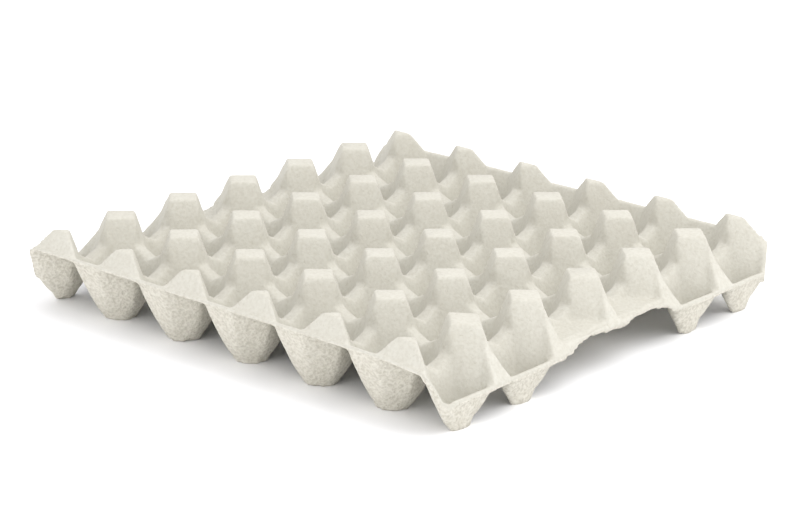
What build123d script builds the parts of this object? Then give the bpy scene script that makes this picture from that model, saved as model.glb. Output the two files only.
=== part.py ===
# Egg tray for thirty eggs, moulded from paper pulp in one piece.
#
# One sheet of pulp of even thickness stands on the blunt feet of its cups.  Thirty whole
# cups hold the eggs, six along X and five along Y.  Tall hollow posts stand where four
# cups meet, and low ridges join the posts.  Along the two Y edges a row of half cups ends
# in a low rim, left out in the middle, where the hands take hold.  Along the two X edges
# half posts are closed by a leaning face above a straight high rim.
#
# The tray is made the way the mould makes it: the hollows that the upper tool presses
# (cup hollows and notches) are taken out of skins that follow them one wall outside.

import os
from math import cos, radians, sqrt, tan

from build123d import *

# ---- driving sizes, in millimetres and degrees ----
PITCH = 48.5            # from one cup's centre to the next, both ways
CUPS_X = 6              # whole cups along X
CUPS_Y = 5              # whole cups along Y
WALL = 2.0              # thickness of the pulp sheet
TRAY_HEIGHT = 46.5      # from the table to the flat post tops
SADDLE_HEIGHT = 26.5    # lowest point of the ridge between two posts
RIDGE_HEIGHT = 32.2     # where that ridge runs into the corner of a post
HIGH_RIM = 36.0         # rim along the two X edges
LOW_RIM = 18.4          # rim along the two Y edges
SHELF_HEIGHT = 25.7     # flat floor of the hand grips
GRIP_EDGE = 22.4        # lower edge of the pulp at the hand grips
GRIP_RISE = 3.4         # how far that edge arches up under each grip
GRIP_DEPTH = 4.0        # how far in from the low rim the pulp is cut away there
GRIP_PAST = 1.9         # how far a hand grip's edge runs past its two cups

POST_HALF = 7.3         # from a post's axis to its faces, just under the bevel
POST_DRAFT = 22.0       # lean of the faces that look into the cups
POST_BEVEL = 1.6        # soft edge round the flat post tops
POST_CORNER = 10.8      # from a post's axis to its corner at the top
CORNER_FLARE = 2.3      # how much further out that corner is at RIDGE_HEIGHT
STRIP_HALF = 7.8        # half the width of the flat face of a post
FOOT_HALF = 5.8         # inner half width of a cup's floor
KNEE_HEIGHT = 5.0       # where a cup's floor has curved up into its wall
KNEE_DIAG = 9.0         # inner half width there, towards the posts
KNEE_ROW = 9.6          # inner half width there, towards the next cup
BELLY_HEIGHT = 12.0     # where the wall turns steeper
BELLY_DIAG = 13.3       # inner half width there, towards the posts
BELLY_ROW = 14.2        # inner half width there, towards the next cup
RIM_DRAFT = 23.0        # lean of the cup wall under the high rim
FACE_LEAN = 21.0        # lean of the closing face of a half post
BEAD = 1.0              # how far the high rim stands out from that face
LIP_DRAFT = 13.0        # lean of the half cups' outer wall
LIP = 2.0               # height of the low rim's upright edge
LIP_OUT = 1.0           # how far the low rim stands out from the wall under it
CORNER_CUT = 10.5       # how much of each corner the rims leave out
SLOPE_LOW = 54.0        # slope of the outward ridges, from the low rim up
SLOPE_BREAK = 34.9      # height at which they turn steeper
SLOPE_HIGH = 71.0       # their slope from there to the post tops
OVER = 4.0              # how far cutting shapes run past the sheet

# ---- sizes worked out from those above ----
SKIN = WALL / cos(radians(POST_DRAFT))       # level thickness of a leaning wall
EDGE_X = CUPS_X * PITCH / 2 + WALL           # from the middle to the high rim
HALF_ROW = (CUPS_Y + 1) * PITCH / 2          # from the middle to the half cups' centres
EDGE_Y = HALF_ROW + WALL                     # from the middle to the low rim
GRIP_HALF = PITCH + GRIP_PAST                # half the length of a hand grip
BEVEL_HEIGHT = TRAY_HEIGHT - POST_BEVEL
BEVEL_DIAG = PITCH / sqrt(2) - POST_HALF     # cup half width just under the bevel
SHOULDER_DIAG = BEVEL_DIAG - (BEVEL_HEIGHT - SADDLE_HEIGHT) * tan(radians(POST_DRAFT))


def row_half(diag):
    """Half width towards the next cup that leaves a post face 2 * STRIP_HALF wide."""
    return (diag + STRIP_HALF) / sqrt(2)


def rim_half(height):
    """Half width of an edge cup towards the high rim, at a height above its knee."""
    return PITCH / 2 + (height - HIGH_RIM) * tan(radians(RIM_DRAFT))


def prism(outline, plane, reach, other=None):
    """A bar along a plane's normal.

    Its section is outline on one side of the plane's upright axis, and on the other side the
    mirror image of other, or of outline itself."""
    with BuildPart() as bar:
        with BuildSketch(plane):
            with BuildLine():
                Polyline(*outline, close=True)
            make_face()
            with BuildLine():
                Polyline(*[(-across, height) for across, height in other or outline], close=True)
            make_face()
        extrude(amount=reach, both=True)
    return bar.part


# ---- a whole cup, and a cup beside the high rim: where three pairs of walls all leave room ----
SECTION_YZ = Plane(origin=(0, 0, 0), x_dir=(0, 1, 0), z_dir=(1, 0, 0))
SECTION_NE = Plane(origin=(0, 0, 0), x_dir=(1, 1, 0), z_dir=(1, -1, 0))
SECTION_SE = Plane(origin=(0, 0, 0), x_dir=(1, -1, 0), z_dir=(-1, -1, 0))


def wall_outline(offset, floor, knee, belly, shoulder, bevel, growth):
    """Half section of a cup through two opposite walls, from its floor to above the tray.

    offset is 0 for the hollow and SKIN for the outside of its wall."""
    foot = FOOT_HALF + 0.6 * offset
    knee_height = KNEE_HEIGHT - 0.5 * (WALL - floor)
    over_height = TRAY_HEIGHT + OVER
    return [
        (0, floor),
        (foot, floor),
        (knee + 0.75 * offset, knee_height),
        (belly + offset, BELLY_HEIGHT),
        (shoulder + offset, SADDLE_HEIGHT),
        (bevel + offset, BEVEL_HEIGHT),
        (bevel + offset + growth, over_height),
        (0, over_height),
    ]


def cup(offset, floor, at_rim):
    """A cup's hollow or its skin; with at_rim the wall towards -X is the one under the high rim."""
    shoulder = row_half(SHOULDER_DIAG)
    bevel = row_half(BEVEL_DIAG)
    rim_shoulder = rim_half(SADDLE_HEIGHT)
    rim_bevel = rim_half(BEVEL_HEIGHT)
    row = wall_outline(offset, floor, KNEE_ROW, BELLY_ROW, shoulder, bevel, POST_BEVEL)
    rim = wall_outline(offset, floor, KNEE_ROW, BELLY_ROW, rim_shoulder, rim_bevel, POST_BEVEL)
    post = wall_outline(offset, floor, KNEE_DIAG, BELLY_DIAG, SHOULDER_DIAG, BEVEL_DIAG, POST_BEVEL + OVER)
    with BuildPart() as shape:
        add(prism(row, Plane.XZ, PITCH, rim if at_rim else row))
        add(prism(row, SECTION_YZ, PITCH), mode=Mode.INTERSECT)
        add(prism(post, SECTION_NE, PITCH), mode=Mode.INTERSECT)
        add(prism(post, SECTION_SE, PITCH), mode=Mode.INTERSECT)
    return shape.part


cup_hollow = cup(0, WALL, False)
cup_skin = cup(SKIN, 0, False)
rim_cup_hollow = cup(0, WALL, True)
rim_cup_skin = cup(SKIN, 0, True)

# over a hand grip only the upper part of a cup is there
with BuildPart() as grip_hollow:
    add(cup_hollow)
    split(bisect_by=Plane.XY.offset(SHELF_HEIGHT), keep=Keep.TOP)

with BuildPart() as grip_skin:
    add(cup_skin)
    split(bisect_by=Plane.XY.offset(SHELF_HEIGHT - WALL), keep=Keep.TOP)


# ---- the V-shaped notch over a ridge, and the skin under it ----
RIDGE_HALF = PITCH / 2 - row_half(SHOULDER_DIAG)     # half a ridge's thickness, at its top


def notch_outline(outset, drop):
    """Half outline, from the saddle out and up, of the notch between two posts."""
    corner_top = PITCH / 2 - POST_CORNER + outset
    corner_low = corner_top - CORNER_FLARE
    return [
        (0, SADDLE_HEIGHT - drop),
        (corner_low, RIDGE_HEIGHT - drop),
        (corner_top, TRAY_HEIGHT),
        (corner_top, TRAY_HEIGHT + OVER),
        (0, TRAY_HEIGHT + OVER),
    ]


notch = prism(notch_outline(0, 0), Plane.XZ, RIDGE_HALF + WALL + 0.5)
notch_skin = prism(notch_outline(SKIN, WALL * 1.1), Plane.XZ, RIDGE_HALF + WALL)


# ---- outer shape of the tray, and the room inside its top and closing faces ----
OUTSIDE = EDGE_X + EDGE_Y
FACE_X = EDGE_X - BEAD
TOP_X = FACE_X - (TRAY_HEIGHT - HIGH_RIM) * tan(radians(FACE_LEAN))
WALL_Y = EDGE_Y - LIP_OUT
FOOT_Y = WALL_Y - LOW_RIM * tan(radians(LIP_DRAFT))
BREAK_Y = EDGE_Y - (SLOPE_BREAK - LOW_RIM - LIP) / tan(radians(SLOPE_LOW))
TOP_Y = BREAK_Y - (TRAY_HEIGHT - SLOPE_BREAK) / tan(radians(SLOPE_HIGH))

face_outline = [
    (0, 0),
    (EDGE_X, 0),
    (EDGE_X, HIGH_RIM),
    (FACE_X, HIGH_RIM),
    (TOP_X, TRAY_HEIGHT),
    (0, TRAY_HEIGHT),
]
slope_outline = [
    (0, 0),
    (FOOT_Y, 0),
    (WALL_Y, LOW_RIM),
    (EDGE_Y, LOW_RIM),
    (EDGE_Y, LOW_RIM + LIP),
    (BREAK_Y, SLOPE_BREAK),
    (TOP_Y, TRAY_HEIGHT),
    (0, TRAY_HEIGHT),
]
face_core = [
    (0, -OVER),
    (OUTSIDE, -OVER),
    (OUTSIDE, HIGH_RIM - WALL),
    (FACE_X - SKIN, HIGH_RIM - WALL),
    (FACE_X - SKIN, HIGH_RIM),
    (TOP_X - SKIN, TRAY_HEIGHT - WALL),
    (0, TRAY_HEIGHT - WALL),
]
slope_core = [
    (0, -OVER),
    (OUTSIDE, -OVER),
    (OUTSIDE, LOW_RIM),
    (EDGE_Y - SKIN, LOW_RIM),
    (BREAK_Y - SKIN, SLOPE_BREAK),
    (TOP_Y - SKIN, TRAY_HEIGHT - WALL),
    (0, TRAY_HEIGHT - WALL),
]
lip_outline = [
    (WALL_Y - SKIN + LIP * tan(radians(LIP_DRAFT)), LOW_RIM + LIP),
    (FOOT_Y - SKIN, 0),
    (OUTSIDE, 0),
    (OUTSIDE, LOW_RIM + LIP),
]

with BuildPart() as envelope:
    add(prism(face_outline, Plane.XZ, OUTSIDE))
    add(prism(slope_outline, SECTION_YZ, OUTSIDE), mode=Mode.INTERSECT)

with BuildPart() as core:
    add(prism(face_core, Plane.XZ, OUTSIDE))
    add(prism(slope_core, SECTION_YZ, OUTSIDE), mode=Mode.INTERSECT)

with BuildPart() as corner_cut:
    with BuildSketch():
        Rectangle(CORNER_CUT * sqrt(2), CORNER_CUT * sqrt(2), rotation=45)
    extrude(amount=TRAY_HEIGHT)

# under the grips the pulp stops well above the table, in two low arches
with BuildPart() as grip_window:
    with BuildSketch(Plane.XZ):
        Rectangle(2 * GRIP_HALF, GRIP_EDGE, align=(Align.CENTER, Align.MIN))
        with Locations((-PITCH / 2, GRIP_EDGE), (PITCH / 2, GRIP_EDGE)):
            Ellipse(PITCH / 3, GRIP_RISE)
    extrude(amount=GRIP_DEPTH, both=True)


# ---- where everything stands ----
edge_column = (CUPS_X - 1) * PITCH / 2
columns = [(index - (CUPS_X - 1) / 2) * PITCH for index in range(CUPS_X)]
grip_columns = [x for x in columns if abs(x) < PITCH]
half_columns = [x for x in columns if abs(x) > PITCH]
half_spots = [(x, y) for x in half_columns for y in (-HALF_ROW, HALF_ROW)]
grip_spots = [(x, y) for x in grip_columns for y in (-HALF_ROW, HALF_ROW)]
corner_spots = [(x, y) for x in (-EDGE_X, EDGE_X) for y in (-EDGE_Y, EDGE_Y)]


def in_every_cup(inner, beside_rim, at_grip, over_ridge, how):
    """Puts a cup's shape, its two variants and a ridge's shape wherever they belong."""
    with GridLocations(PITCH, PITCH, CUPS_X - 2, CUPS_Y):
        add(inner, mode=how)
    with GridLocations(2 * edge_column, PITCH, 1, CUPS_Y):
        with Locations((-edge_column, 0)):
            add(beside_rim, mode=how)
        with Locations((edge_column, 0)):
            add(beside_rim, rotation=(0, 0, 180), mode=how)
    with Locations(*half_spots):
        add(inner, mode=how)
    with Locations(*grip_spots):
        add(at_grip, mode=how)
    with GridLocations(PITCH, PITCH, CUPS_X, CUPS_Y + 1):
        add(over_ridge, mode=how)
    with GridLocations(PITCH, PITCH, CUPS_X - 1, CUPS_Y):
        add(over_ridge, rotation=(0, 0, 90), mode=how)


# everything that the upper tool presses into the pulp
with BuildPart() as hollows:
    in_every_cup(cup_hollow, rim_cup_hollow, grip_hollow.part, notch, Mode.ADD)
    add(prism(lip_outline, SECTION_YZ, OUTSIDE), mode=Mode.SUBTRACT)

# ---- the tray ----
with BuildPart() as egg_tray:
    add(envelope.part)
    add(core.part, mode=Mode.SUBTRACT)
    with Locations(*corner_spots):
        add(corner_cut.part, mode=Mode.SUBTRACT)
    in_every_cup(cup_skin, rim_cup_skin, grip_skin.part, notch_skin, Mode.ADD)
    add(envelope.part, mode=Mode.INTERSECT)
    add(hollows.part, mode=Mode.SUBTRACT)
    with Locations((0, -EDGE_Y), (0, EDGE_Y)):
        add(grip_window.part, mode=Mode.SUBTRACT)

egg_tray.part.label = "egg_tray"
os.makedirs("parts", exist_ok=True)
export_step(egg_tray.part, "parts/egg_tray.step")
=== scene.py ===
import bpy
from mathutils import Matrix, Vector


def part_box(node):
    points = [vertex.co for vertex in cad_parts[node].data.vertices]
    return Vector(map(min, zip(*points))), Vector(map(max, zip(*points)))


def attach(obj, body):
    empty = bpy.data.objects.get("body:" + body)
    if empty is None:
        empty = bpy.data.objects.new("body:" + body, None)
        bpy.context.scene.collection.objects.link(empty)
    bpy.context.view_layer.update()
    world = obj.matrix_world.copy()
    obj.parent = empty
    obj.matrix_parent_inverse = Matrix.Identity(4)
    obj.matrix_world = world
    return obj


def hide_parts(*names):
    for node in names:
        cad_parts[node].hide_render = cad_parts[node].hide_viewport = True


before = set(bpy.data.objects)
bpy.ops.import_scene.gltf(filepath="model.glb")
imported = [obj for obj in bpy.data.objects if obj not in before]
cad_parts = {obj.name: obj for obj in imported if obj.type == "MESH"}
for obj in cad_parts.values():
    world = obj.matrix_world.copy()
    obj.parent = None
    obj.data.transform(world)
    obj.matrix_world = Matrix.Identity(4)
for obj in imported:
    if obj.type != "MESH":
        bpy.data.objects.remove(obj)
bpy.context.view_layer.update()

from math import cos, radians, sin, sqrt, tan

import bpy
from mathutils import Matrix, Vector


# ---------------------------------------------------------------------------------------
# The tray.  One sheet of off-white paper pulp, sucked on to a mesh mould and dried: thirty
# cups, hollow posts between them, and a rim.  Its upper face and its underside are each a
# height over the table, the greatest of the cup walls and the least of what limits them.
# ---------------------------------------------------------------------------------------
mm = 0.001
low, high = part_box("egg_tray")
wall = 2.0 * mm
pitch = (high[0] - low[0] - 2 * wall) / 6
tray_height = high[2] - low[2]
edge = (high[0] - low[0]) / 2            # from the middle of the tray to its rims
saddle_height = 26.5 * mm                # lowest point of the ridge between two posts
ridge_height = 32.2 * mm                 # where that ridge meets the corner of a post
high_rim = 36.0 * mm                     # rim along the two closed sides
bead = 1.9 * mm                          # how far it stands out from the closing faces
low_rim = 17.9 * mm                      # underside of the rim along the two open sides
low_lip = 2.6 * mm                       # how deep that rim is
lip_out = 1.2 * mm                       # how far it stands out from the wall under it
shelf_height = 25.3 * mm                 # floor of the hand grips
crest_inset = 5.4 * mm                   # from the edge to the crest of the grips' lip
crest_height = 1.2 * mm                  # of that crest over the shelf
crease_height = 28.0 * mm                # crease across the ridge that runs into a grip
crease_depth = 1.9 * mm
post_half = 8.0 * mm                     # from a post's axis to its faces, near the top
bevel_height = tray_height - 1.6 * mm
post_corner = 11.6 * mm                  # from a post's axis to its corners, at the top
corner_flare = 2.3 * mm                  # how much further out they are at ridge_height
knee_height = 5.0 * mm                   # where a cup's floor has curved up into its wall
belly_height = 12.0 * mm                 # where the wall turns steeper
# half widths of a cup at its floor, knee, belly, saddle_height and bevel_height, first
# towards the next cup and then towards a post; the half cups have feet of their own
shoulder_row, shoulder_post = 19.35 * mm, 19.56 * mm
bevel_row, bevel_post = 24.7 * mm, pitch / sqrt(2) - post_half
row_widths = (6.5 * mm, 10.1 * mm, 13.9 * mm, shoulder_row, bevel_row)
post_widths = (6.4 * mm, 9.4 * mm, 13.2 * mm, shoulder_post, bevel_post)
half_row_widths = (6.2 * mm, 10.3 * mm, 14.0 * mm, shoulder_row, bevel_row)
half_post_widths = (6.2 * mm, 10.0 * mm, 13.8 * mm, shoulder_post, bevel_post)
face_slope = 1 / tan(radians(21.0))      # closing face above the high rim
rim_slope = 1 / tan(radians(23.0))       # cup wall under the high rim
lip_slope = 1 / tan(radians(13.0))       # outer wall of the half cups
slope_low = tan(radians(54.0))           # outward ridges, from the low rim up
slope_high = tan(radians(71.0))          # the same, above slope_break
slope_break = 34.9 * mm
skin = wall / cos(radians(22.0))         # level thickness of a leaning wall
square_at = 27.0 * mm                    # from a cup's middle to where its corners are square
wall_bow = 26.0 * mm                     # the half cups' outer wall bows in by across ** 2 / wall_bow
most_bow = 3.2 * mm
half_cup_round = 5.0 * mm                # least rounding of the half cups' outer corners
crest_round = 8.5 * mm                   # rounding of the ridges between posts
outward_round = 5.0 * mm                 # rounding of the ridges that run out to the low rim
crease_half = 1.8 * mm                   # from a crease's middle to its sides
thinnest = 1.4 * mm                      # least upright distance between the two faces
sunk = 0.6 * mm                          # feet start this much lower, for the smoothing lifts them
mesh_step = 0.8 * mm
triangle_limit = 190_000


class Term:
    """A socket of a node tree, so that sums of sockets can be written as sums."""

    def __init__(self, tree, socket):
        self.tree = tree
        self.socket = socket

    def node(self, kind, settings=None, sockets=None, output=0):
        """Adds a node, sets it up, fills or links its sockets, and gives one of its outputs."""
        made = self.tree.nodes.new(kind)
        for name, value in (settings or {}).items():
            setattr(made, name, value)
        for key, value in (sockets or {}).items():
            if isinstance(value, Term):
                self.tree.links.new(value.socket, made.inputs[key])
            else:
                made.inputs[key].default_value = value
        return Term(self.tree, made.outputs[output])

    def other(self, output):
        """Another output of the same node."""
        return Term(self.tree, self.socket.node.outputs[output])

    def math(self, operation, *others):
        """One step of arithmetic on this and the other values."""
        terms = dict(enumerate((self, *others)))
        return self.node("ShaderNodeMath", {"operation": operation}, terms)

    def __add__(self, other):
        return self.math("ADD", other)

    def __sub__(self, other):
        return self.math("SUBTRACT", other)

    def __rsub__(self, other):
        return self * -1 + other

    def __mul__(self, other):
        return self.math("MULTIPLY", other)

    __rmul__ = __mul__

    def __truediv__(self, other):
        return self.math("DIVIDE", other)

    def __gt__(self, other):
        return self.math("GREATER_THAN", other)

    def __lt__(self, other):
        return self.math("LESS_THAN", other)

    def most(self, other):
        return self.math("MAXIMUM", other)

    def least(self, other):
        return self.math("MINIMUM", other)

    def above(self, other, softness):
        """The greater of the two, rounded where they cross."""
        return self.math("SMOOTH_MAX", other, softness)

    def below(self, other, softness):
        """The lesser of the two, rounded where they cross."""
        return self.math("SMOOTH_MIN", other, softness)

    def spread(self, start, end):
        """0 where this is under start, 1 where it is over end, and even in between."""
        return self.node("ShaderNodeMapRange", sockets={0: self, 1: start, 2: end})

    def noise(self, scale, detail, seed):
        """A soft random value about 0.5 that follows this vector."""
        return self.node(
            "ShaderNodeTexNoise",
            {"noise_dimensions": "4D"},
            {"Vector": self, "W": seed, "Scale": scale, "Detail": detail},
        )


def line(across, near, far):
    """Height of the straight wall through two (distance, height) points."""
    slope = (far[1] - near[1]) / (far[0] - near[0])
    return across * slope + (near[1] - near[0] * slope)


def new_tree(name, sizes):
    """A geometry tree with one input for each size; gives it, its inputs and its output node."""
    tree = bpy.data.node_groups.new(name, "GeometryNodeTree")
    tree.interface.new_socket("Geometry", in_out="INPUT", socket_type="NodeSocketGeometry")
    for size, value in sizes.items():
        kind = "NodeSocketInt" if isinstance(value, int) else "NodeSocketFloat"
        tree.interface.new_socket(size, in_out="INPUT", socket_type=kind).default_value = value
    tree.interface.new_socket("Geometry", in_out="OUTPUT", socket_type="NodeSocketGeometry")
    given = tree.nodes.new("NodeGroupInput")
    terms = {socket.name: Term(tree, socket) for socket in given.outputs if socket.name}
    return tree, terms, tree.nodes.new("NodeGroupOutput")


def add_nodes(piece, tree, sizes):
    """Puts a geometry tree on a piece, with each size set by its socket's identifier."""
    modifier = piece.modifiers.new(tree.name, "NODES")
    modifier.node_group = tree
    for item in tree.interface.items_tree:
        if item.item_type == "SOCKET" and item.in_out == "INPUT" and item.name in sizes:
            modifier[item.identifier] = sizes[item.name]


def baked(piece, name):
    """The piece with its modifiers applied, as a plain mesh."""
    graph = bpy.context.evaluated_depsgraph_get()
    mesh = bpy.data.meshes.new_from_object(piece.evaluated_get(graph))
    mesh.name = name
    piece.modifiers.clear()
    piece.data = mesh
    return mesh


def cup_wall(across, offset, floor, widths, soft):
    """Height of a cup's wall at a distance from the cup's middle, across two opposite walls."""
    corners = [
        (widths[0] + 0.6 * offset, floor),
        (widths[1] + 0.75 * offset, knee_height - (wall - floor) / 2),
        (widths[2] + offset, belly_height),
        (widths[3] + offset, saddle_height),
        (widths[4] + offset, bevel_height),
    ]
    height = line(across, corners[0], corners[1])
    for near, far in zip(corners[1:], corners[2:]):
        height = height.above(line(across, near, far), soft)
    return height


def sheet_face(at, offset, floor, soft):
    """Height of one face of the sheet: the upper one, or with an offset the one below it."""
    x, y, half = at["x"], at["y"], at["Cup Pitch"] * 0.5
    last_post = at["Cup Pitch"] * 2.5
    across = half - x.math("PINGPONG", half)
    across = across + (x - last_post - across) * (x > last_post)
    along = y.math("PINGPONG", half)
    diagonal = (across + along) / sqrt(2)
    drop = 1.1 * wall if offset else 0.0

    # the cups are round at the foot and turn squarer towards the top
    rows = cup_wall(along, offset, floor, row_widths, soft)
    columns = cup_wall(across, offset, floor, row_widths, soft)
    posts = cup_wall(diagonal, offset, floor, post_widths, soft)
    rim_shoulder = pitch / 2 - (high_rim - saddle_height) / rim_slope
    rim_bevel = pitch / 2 + (bevel_height - high_rim) / rim_slope
    rimward = cup_wall(across, offset, floor, (*row_widths[:3], rim_shoulder, rim_bevel), soft)
    columns = columns + (rimward - columns) * (x > last_post)
    at_half = y > last_post + at["Cup Pitch"] * 0.5
    half_columns = cup_wall(across, offset, floor, half_row_widths, soft)
    half_posts = cup_wall(diagonal, offset, floor, half_post_widths, soft)
    columns = columns + (half_columns - columns).least(0.0) * at_half
    posts = posts + (half_posts - posts).least(0.0) * at_half
    roundness = ((square_at - diagonal) * 0.4).most(soft)
    face = rows.above(columns, roundness).above(posts, roundness)

    # the open sides: outer wall of the half cups, its corners well rounded, with the rim on it
    foot = edge - lip_out - low_rim / lip_slope - (0.0 if offset else skin)
    curve = (across * across / wall_bow).least(most_bow)
    outer = (y - foot + curve) * lip_slope / (curve * lip_slope / low_rim + 1)
    rim_level = low_rim if offset else low_rim + low_lip
    corner_softness = face.most(0.0) * 0.9 + half_cup_round
    outer = face.above(outer, corner_softness).least(rim_level)
    face = face.above(outer, 0.6 * mm).above(floor, soft)

    # hand grips: a shelf over two half cups, raised to a low crest where it turns down
    in_grip = (x < at["Cup Pitch"]) * (y > last_post)
    crest_line = (y - (edge - crest_inset)).math("ABSOLUTE").spread(crest_inset / 2, 0.0)
    shelf = crest_line * crest_height + (shelf_height - drop)
    face = face.above(shelf * in_grip, 2 * soft)

    # the ridges between posts dip in a shallow V; past the last post they limit nothing
    beyond_reach = 1.0
    corner_top = pitch / 2 - post_corner + offset
    corner_low = corner_top - corner_flare
    for distance, where in ((across, 0.0), (along, (x > last_post).most(y > last_post))):
        shallow = line(distance, (0, saddle_height - drop), (corner_low, ridge_height - drop))
        steep = line(distance, (corner_low, ridge_height - drop), (corner_top, tray_height))
        crest = soft
        if not offset:
            crest = (corner_low - distance).spread(0.0, 3.5 * mm) * crest_round + soft
        face = face.below(shallow.above(steep, soft) + where * beyond_reach, crest)

    # post tops, closing faces above the high rim, and the slope down to the low rim
    inset = skin if offset else 0.0
    closing = (edge - bead - inset - x) * face_slope + high_rim
    closing = closing.most(high_rim - wall if offset else high_rim)
    break_at = edge - (slope_break - low_rim - low_lip) / slope_low
    slope = (break_at - inset - y) * slope_low + slope_break
    slope = slope.above((break_at - inset - y) * slope_high + slope_break, soft)
    if offset:
        slope = slope.most(low_rim)
    face = face.below(tray_height - (wall if offset else 0), soft)
    midway = slope.spread(22 * mm, 28 * mm) * slope.spread(44 * mm, 36 * mm)
    face = face.below(slope, midway * outward_round + soft + in_grip * (1.5 * mm))
    if not offset:
        crease = (slope - crease_height).math("ABSOLUTE").spread(crease_half, 0.0)
        face = face - crease * in_grip * crease_depth
    return face.below(closing, 0.8 * mm)


shape_sizes = {
    "Cup Pitch": pitch,
    "Edge": edge,
    "Corner Cut": 6.8 * mm,
    "Corner Land": 2.1 * mm,
    "Rounding": 1.2 * mm,
    "Grid Vertices": int(2 * edge / mesh_step) + 1,
    "Seed": 3.0,
}
shape, given, result = new_tree("Moulded tray", shape_sizes)
start = given["Cup Pitch"]
sheet = start.node(
    "GeometryNodeMeshGrid",
    sockets={
        "Size X": given["Edge"] * 2,
        "Size Y": given["Edge"] * 2,
        "Vertices X": given["Grid Vertices"],
        "Vertices Y": given["Grid Vertices"],
    },
)
place = start.node("GeometryNodeInputPosition")
x_here = start.node("ShaderNodeSeparateXYZ", sockets={0: place})
y_here = x_here.other(1)
x_out, y_out = x_here.math("ABSOLUTE"), y_here.math("ABSOLUTE")

# corners are cut off straight, more along the low rim than along the high one
cut_x, cut_y = 0.524, 0.852              # a unit vector square to the cut
from_cut = given["Edge"] * (cut_x + cut_y) - given["Corner Cut"] - x_out * cut_x - y_out * cut_y
beyond = (from_cut * -1).most(0.0)
# under each hand grip the torn edge is drawn in, in two shallow waves, more towards +X
wave_half, wave_depth, more_depth = 19 * mm, 2.4 * mm, 2.1 * mm
wave = (x_out - given["Cup Pitch"] * 0.54).math("ABSOLUTE") / wave_half
wave = (1 - wave * wave).most(0.0)
tear = place.noise(50, 1, given["Seed"]) * (1.4 * mm) + place.noise(260, 1, given["Seed"]) * (0.4 * mm)
drawn_in = wave * wave * wave_depth + x_here.spread(-30 * mm, -12 * mm) * more_depth + tear - 0.7 * mm
drawn_in = drawn_in.most(0.2 * mm) * (given["Cup Pitch"] + 1 * mm - x_out).spread(0.0, 5 * mm)
near_edge = (y_out - (given["Edge"] - 8 * mm)).most(0.0) / (8 * mm)
flat_x = x_here - x_here.math("SIGN") * beyond * cut_x
flat_y = y_here - y_here.math("SIGN") * (beyond * cut_y + drawn_in * near_edge)
flat = start.node("ShaderNodeCombineXYZ", sockets={0: flat_x, 1: flat_y, 2: 0.0})
sheet = start.node("GeometryNodeSetPosition", sockets={"Geometry": sheet, "Position": flat})

# the free edge at each corner is turned out to a narrow land
turned = (given["Corner Land"] - from_cut).most(0.0)
at = {"x": x_out - turned * cut_x, "y": y_out - turned * cut_y, "Cup Pitch": given["Cup Pitch"]}
upper = sheet_face(at, 0.0, wall, given["Rounding"])
lower = sheet_face(at, skin, 0.0, given["Rounding"])
# ragged pulp round the feet, where the mould's edges met
ragged = place.noise(330, 3, given["Seed"]).spread(0.42, 0.62) * lower.spread(5 * mm, 1.5 * mm)
ragged_depth = 2.6 * mm
lower = lower - ragged * ragged_depth
lower = lower.least(upper - thinnest).most(0.0) - sunk * lower.spread(2 * mm, 0.0)
upper_place = start.node("ShaderNodeCombineXYZ", sockets={0: x_here, 1: y_here, 2: upper})
lower_place = start.node("ShaderNodeCombineXYZ", sockets={0: x_here, 1: y_here, 2: lower})

raised = start.node(
    "GeometryNodeExtrudeMesh", {"mode": "FACES"}, {"Mesh": sheet, "Offset Scale": 0.0, "Individual": False}
)
top_faces = raised.other("Top")
under_faces = start.node("FunctionNodeBooleanMath", {"operation": "NOT"}, {0: top_faces})
for chosen, new_place in ((top_faces, upper_place), (under_faces, lower_place)):
    moves = {"Geometry": raised, "Selection": chosen, "Position": new_place}
    raised = start.node("GeometryNodeSetPosition", sockets=moves)
under = start.node("GeometryNodeSetPosition", sockets={"Geometry": sheet, "Position": lower_place})
under = start.node("GeometryNodeFlipFaces", sockets={"Mesh": under})
both = start.node("GeometryNodeJoinGeometry", sockets={0: raised})
shape.links.new(under.socket, both.socket.node.inputs[0])
closed = start.node("GeometryNodeMergeByDistance", sockets={"Geometry": both, "Distance": 0.01 * mm})

pulp = bpy.data.materials.new("pulp")
pulp.use_nodes = True
whole = start.node("GeometryNodeRealizeInstances", sockets={"Geometry": closed})
whole = start.node("GeometryNodeSetMaterial", sockets={"Geometry": whole, "Material": pulp})
shape.links.new(whole.socket, result.inputs[0])

tray = bpy.data.objects.new("tray", bpy.data.meshes.new("tray"))
bpy.context.scene.collection.objects.link(tray)
add_nodes(tray, shape, shape_sizes)
remesh = tray.modifiers.new("even mesh", "REMESH")
remesh.mode = "VOXEL"
remesh.voxel_size = mesh_step
remesh.use_smooth_shade = True
smooth = tray.modifiers.new("soft edges", "SMOOTH")
smooth.factor = 0.5
smooth.iterations = 1
mesh = baked(tray, "tray")

# pulp dries unevenly: lumps, a slow warp, and nothing sticks out of the tray's box
uneven_sizes = {
    "Warp": 1.0 * mm,
    "Lump Height": 0.6 * mm,
    "Grain Height": 0.3 * mm,
    "Crumple": 2.4 * mm,
    "Sag": 1.9 * mm,
    "Inside Box": 0.08 * mm,
    "Seed": 5.0,
}
uneven, given, result = new_tree("Uneven pulp", uneven_sizes)
place = given["Warp"].node("GeometryNodeInputPosition")
normal = place.node("GeometryNodeInputNormal")
warp = place.noise(9, 1, given["Seed"]).other("Color")
warp = warp.node("ShaderNodeVectorMath", {"operation": "SUBTRACT"}, {0: warp, 1: (0.5, 0.5, 0.5)})
warp = warp.node("ShaderNodeVectorMath", {"operation": "SCALE"}, {0: warp, "Scale": given["Warp"]})
swell = (place.noise(85, 1, given["Seed"]) - 0.5) * given["Lump Height"]
swell = swell + (place.noise(330, 1, given["Seed"]) - 0.5) * given["Grain Height"]
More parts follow.
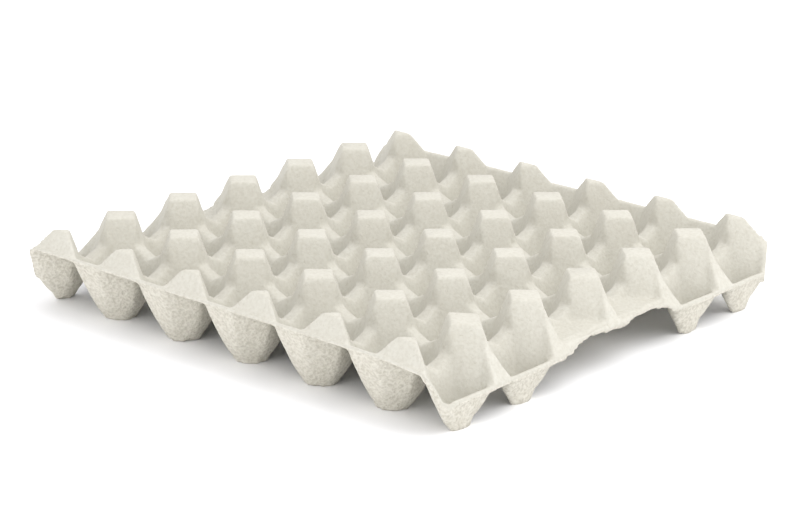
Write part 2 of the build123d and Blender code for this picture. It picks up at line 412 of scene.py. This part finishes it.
# the turned-down edge of the hand grips is crumpled
apart = place.node("ShaderNodeSeparateXYZ", sockets={0: place})
at_lip = (apart.other(1).math("ABSOLUTE") - edge).spread(-9 * mm, -5 * mm)
at_lip = at_lip * apart.math("ABSOLUTE").spread(pitch + 6 * mm, pitch - 1 * mm)
swell = swell + (place.noise(95, 1, given["Seed"]) - 0.5) * at_lip * given["Crumple"]
# the front left corner hangs a little
sag = apart.spread(0.0, -105 * mm) * apart.other(1).spread(-112 * mm, -135 * mm) * given["Sag"]
drop = place.node("ShaderNodeCombineXYZ", sockets={2: sag * -1})
warp = warp.node("ShaderNodeVectorMath", {"operation": "ADD"}, {0: warp, 1: drop})
push = swell.node("ShaderNodeVectorMath", {"operation": "SCALE"}, {0: normal, "Scale": swell})
moved = push.node("ShaderNodeVectorMath", {"operation": "ADD"}, {0: place, 1: push})
moved = moved.node("ShaderNodeVectorMath", {"operation": "ADD"}, {0: moved, 1: warp})
side_limit = edge - given["Inside Box"]
top_limit, foot_limit = tray_height - given["Inside Box"], 0.06 * mm
most = place.node("ShaderNodeCombineXYZ", sockets={0: side_limit, 1: side_limit, 2: top_limit})
least = place.node("ShaderNodeCombineXYZ", sockets={0: side_limit * -1, 1: side_limit * -1, 2: foot_limit})
moved = moved.node("ShaderNodeVectorMath", {"operation": "MAXIMUM"}, {0: moved, 1: least})
moved = moved.node("ShaderNodeVectorMath", {"operation": "MINIMUM"}, {0: moved, 1: most})
rough = place.node("GeometryNodeSetPosition", sockets={"Geometry": given["Geometry"], "Position": moved})
rough = place.node("GeometryNodeRealizeInstances", sockets={"Geometry": rough})
rough = place.node("GeometryNodeSetMaterial", sockets={"Geometry": rough, "Material": pulp})
uneven.links.new(rough.socket, result.inputs[0])
add_nodes(tray, uneven, uneven_sizes)

triangles = sum(len(face.vertices) - 2 for face in mesh.polygons)
thin = tray.modifiers.new("fewer triangles", "DECIMATE")
thin.ratio = min(1.0, triangle_limit / triangles)
mesh = baked(tray, "tray")
mesh.materials.clear()
mesh.materials.append(pulp)
mesh.polygons.foreach_set("use_smooth", [True] * len(mesh.polygons))

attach(tray, "root")
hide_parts("egg_tray")

# pulp: warm off-white with grey fibres and flecks, coarse where it was not pressed; the faces that look down
# and out get painted light, a paler colour, and the hollows of the grain get painted shade
shader = pulp.node_tree.nodes["Principled BSDF"]
where = Term(pulp.node_tree, shader.outputs[0]).node("ShaderNodeTexCoord", output="Object")
facing = where.node("ShaderNodeNewGeometry", output="Normal")
upright = where.node("ShaderNodeSeparateXYZ", sockets={0: facing}).other(2)
# mask of the faces that look down and out: their grain is coarser, and painted light makes their colour
# paler
outside = upright.spread(0.12, -0.12)        # 1 on the faces that look down and out

pressed_pale = (0.556, 0.546, 0.486, 1)
pressed_grey = (0.526, 0.512, 0.450, 1)
# a paler copy of the pulp for the faces that look down and out: painted light standing in for the fill light
# they get
underside_painted_light = (0.650, 0.628, 0.554, 1)
# brown for the fibres and flecks, and for the painted shade in the hollows of the grain
fleck_and_shade_brown = (0.375, 0.352, 0.285, 1)

# each cell of a random pattern holds one fibre, lying along the surface
cells = where.node("ShaderNodeTexVoronoi", sockets={"Vector": where, "Scale": 190.0})
cell_colour, cell_place = cells.other("Color"), cells.other("Position")
random = where.node("ShaderNodeSeparateColor", sockets={0: cell_colour})
from_middle = where.node("ShaderNodeVectorMath", {"operation": "SUBTRACT"}, {0: where, 1: cell_place})
heading = where.node("ShaderNodeVectorMath", {"operation": "SUBTRACT"}, {0: cell_colour, 1: (0.5, 0.5, 0.5)})
heading = where.node("ShaderNodeVectorMath", {"operation": "CROSS_PRODUCT"}, {0: heading, 1: facing})
heading = where.node("ShaderNodeVectorMath", {"operation": "NORMALIZE"}, {0: heading})
sideways = where.node("ShaderNodeVectorMath", {"operation": "CROSS_PRODUCT"}, {0: heading, 1: facing})
dot = {"operation": "DOT_PRODUCT"}
along = where.node("ShaderNodeVectorMath", dot, {0: from_middle, 1: heading}, "Value")
aside = where.node("ShaderNodeVectorMath", dot, {0: from_middle, 1: sideways}, "Value")
bend = (where.noise(300, 1, 2.0) - 0.5) * (1.2 * mm)
fibre = (aside + bend).math("ABSOLUTE").spread(0.22 * mm, 0.06 * mm)
fibre = fibre * along.math("ABSOLUTE").spread(1.4 * mm, 0.8 * mm) * (random > 0.55)

clouds = where.noise(38, 3, 1.0).spread(0.35, 0.65)
speckle = where.noise(900, 2, 4.0).spread(0.62, 0.74)
grain = where.noise(620, 3, 6.0)
mottle = where.noise(450, 3, 7.0).spread(0.36, 0.66)
# painted shade: the hollows of the grain are painted darker, more on the faces that look down and out
painted_pit_shade = grain.spread(0.6, 0.36)                # hollows between the fibre lumps stay darker
# the brown share: real fibres, flecks and mottle, plus the painted shade of the pits
flecks_and_pit_shade = fibre * random.other(1) * 0.4 + speckle * 0.27
flecks_and_pit_shade = flecks_and_pit_shade + mottle * 0.12 + painted_pit_shade * (outside * 0.28 + 0.22)
colour = pressed_pale
# blend in the grey clouds, then the painted light on the downward faces, then the flecks and the painted
# shade of the pits
for share, next_colour in ((clouds * 0.6, pressed_grey), (outside, underside_painted_light), (flecks_and_pit_shade, fleck_and_shade_brown)):
    blend = {"Factor": share, "A": colour, "B": next_colour}
    colour = where.node("ShaderNodeMix", {"data_type": "RGBA"}, blend, 2)
pulp.node_tree.links.new(colour.socket, shader.inputs["Base Color"])
height = (grain - 0.5) * (outside * 2.2 + 0.8) + fibre * 0.15
bump = where.node("ShaderNodeBump", sockets={"Strength": 0.6, "Distance": 0.6 * mm, "Height": height})
pulp.node_tree.links.new(bump.socket, shader.inputs["Normal"])
shader.inputs["Roughness"].default_value = 0.95
shader.inputs["Specular IOR Level"].default_value = 0.15


# ---------------------------------------------------------------------------------------
# Floor.  A plain sheet of white paper, wide enough to fill the view.  The tray stands on
# it loose, on the feet of its cups.
# ---------------------------------------------------------------------------------------
floor_mesh = bpy.data.meshes.new("floor")
floor_half = 6.0
floor_corners = [(x * floor_half, y * floor_half, 0) for x, y in ((-1, -1), (1, -1), (1, 1), (-1, 1))]
floor_mesh.from_pydata(floor_corners, [], [(0, 1, 2, 3)])
floor = bpy.data.objects.new("floor", floor_mesh)
bpy.context.scene.collection.objects.link(floor)
white = bpy.data.materials.new("white paper")
white.use_nodes = True
white_shader = white.node_tree.nodes["Principled BSDF"]
white_shader.inputs["Base Color"].default_value = (0.93, 0.938, 0.945, 1)
white_shader.inputs["Roughness"].default_value = 0.9
floor_mesh.materials.append(white)


# ---------------------------------------------------------------------------------------
# Camera.  A long lens, looking at a front corner from a little above, and rolled slightly.
# Its place is given from the middle of the tray's foot, in cup pitches.
# ---------------------------------------------------------------------------------------
centre = Vector(((low[0] + high[0]) / 2, (low[1] + high[1]) / 2, low[2]))
camera_data = bpy.data.cameras.new("camera")
camera_data.sensor_width = 36.0
camera_data.lens = 125.9
camera = bpy.data.objects.new("camera", camera_data)
bpy.context.scene.collection.objects.link(camera)
back = Vector((-0.72904, -0.61044, 0.30963)).normalized()
right = Vector((0.64198, -0.76672, 0.0)).normalized()
up = back.cross(right).normalized()
roll = radians(1.415)
axis_x = right * cos(roll) + up * sin(roll)
axis_y = back.cross(axis_x)
stand = centre + Vector((-23.043, -19.241, 10.347)) * pitch
camera.matrix_world = Matrix(
    (
        (axis_x.x, axis_y.x, back.x, stand.x),
        (axis_x.y, axis_y.y, back.y, stand.y),
        (axis_x.z, axis_y.z, back.z, stand.z),
        (0, 0, 0, 1),
    )
)
bpy.context.scene.camera = camera


# ---------------------------------------------------------------------------------------
# Lights.  Bright, even light from all round, a wide soft lamp high on the front right, and
# a weaker one low on the left that lifts the closing faces.
# ---------------------------------------------------------------------------------------
world = bpy.data.worlds.new("studio")
bpy.context.scene.world = world
world.use_nodes = True
world.node_tree.nodes["Background"].inputs["Color"].default_value = (0.985, 0.975, 1.0, 1)
world.node_tree.nodes["Background"].inputs["Strength"].default_value = 1.28
bpy.context.scene.view_settings.view_transform = "Standard"


def soft_light(name, where, size, power, colour):
    """A square lamp that looks at the tray."""
    data = bpy.data.lights.new(name, "AREA")
    data.shape = "SQUARE"
    data.size = size
    data.energy = power
    data.color = colour
    lamp = bpy.data.objects.new(name, data)
    bpy.context.scene.collection.objects.link(lamp)
    lamp.location = where
    lamp.rotation_mode = "QUATERNION"
    lamp.rotation_quaternion = (Vector(where) - centre).to_track_quat("Z", "Y")


soft_light("right light", (0.32, -0.68, 1.16), 1.2, 10.0, (1.0, 0.99, 0.97))
soft_light("left light", (-1.25, -0.1, 0.3), 0.9, 3.5, (1.0, 0.985, 0.96))
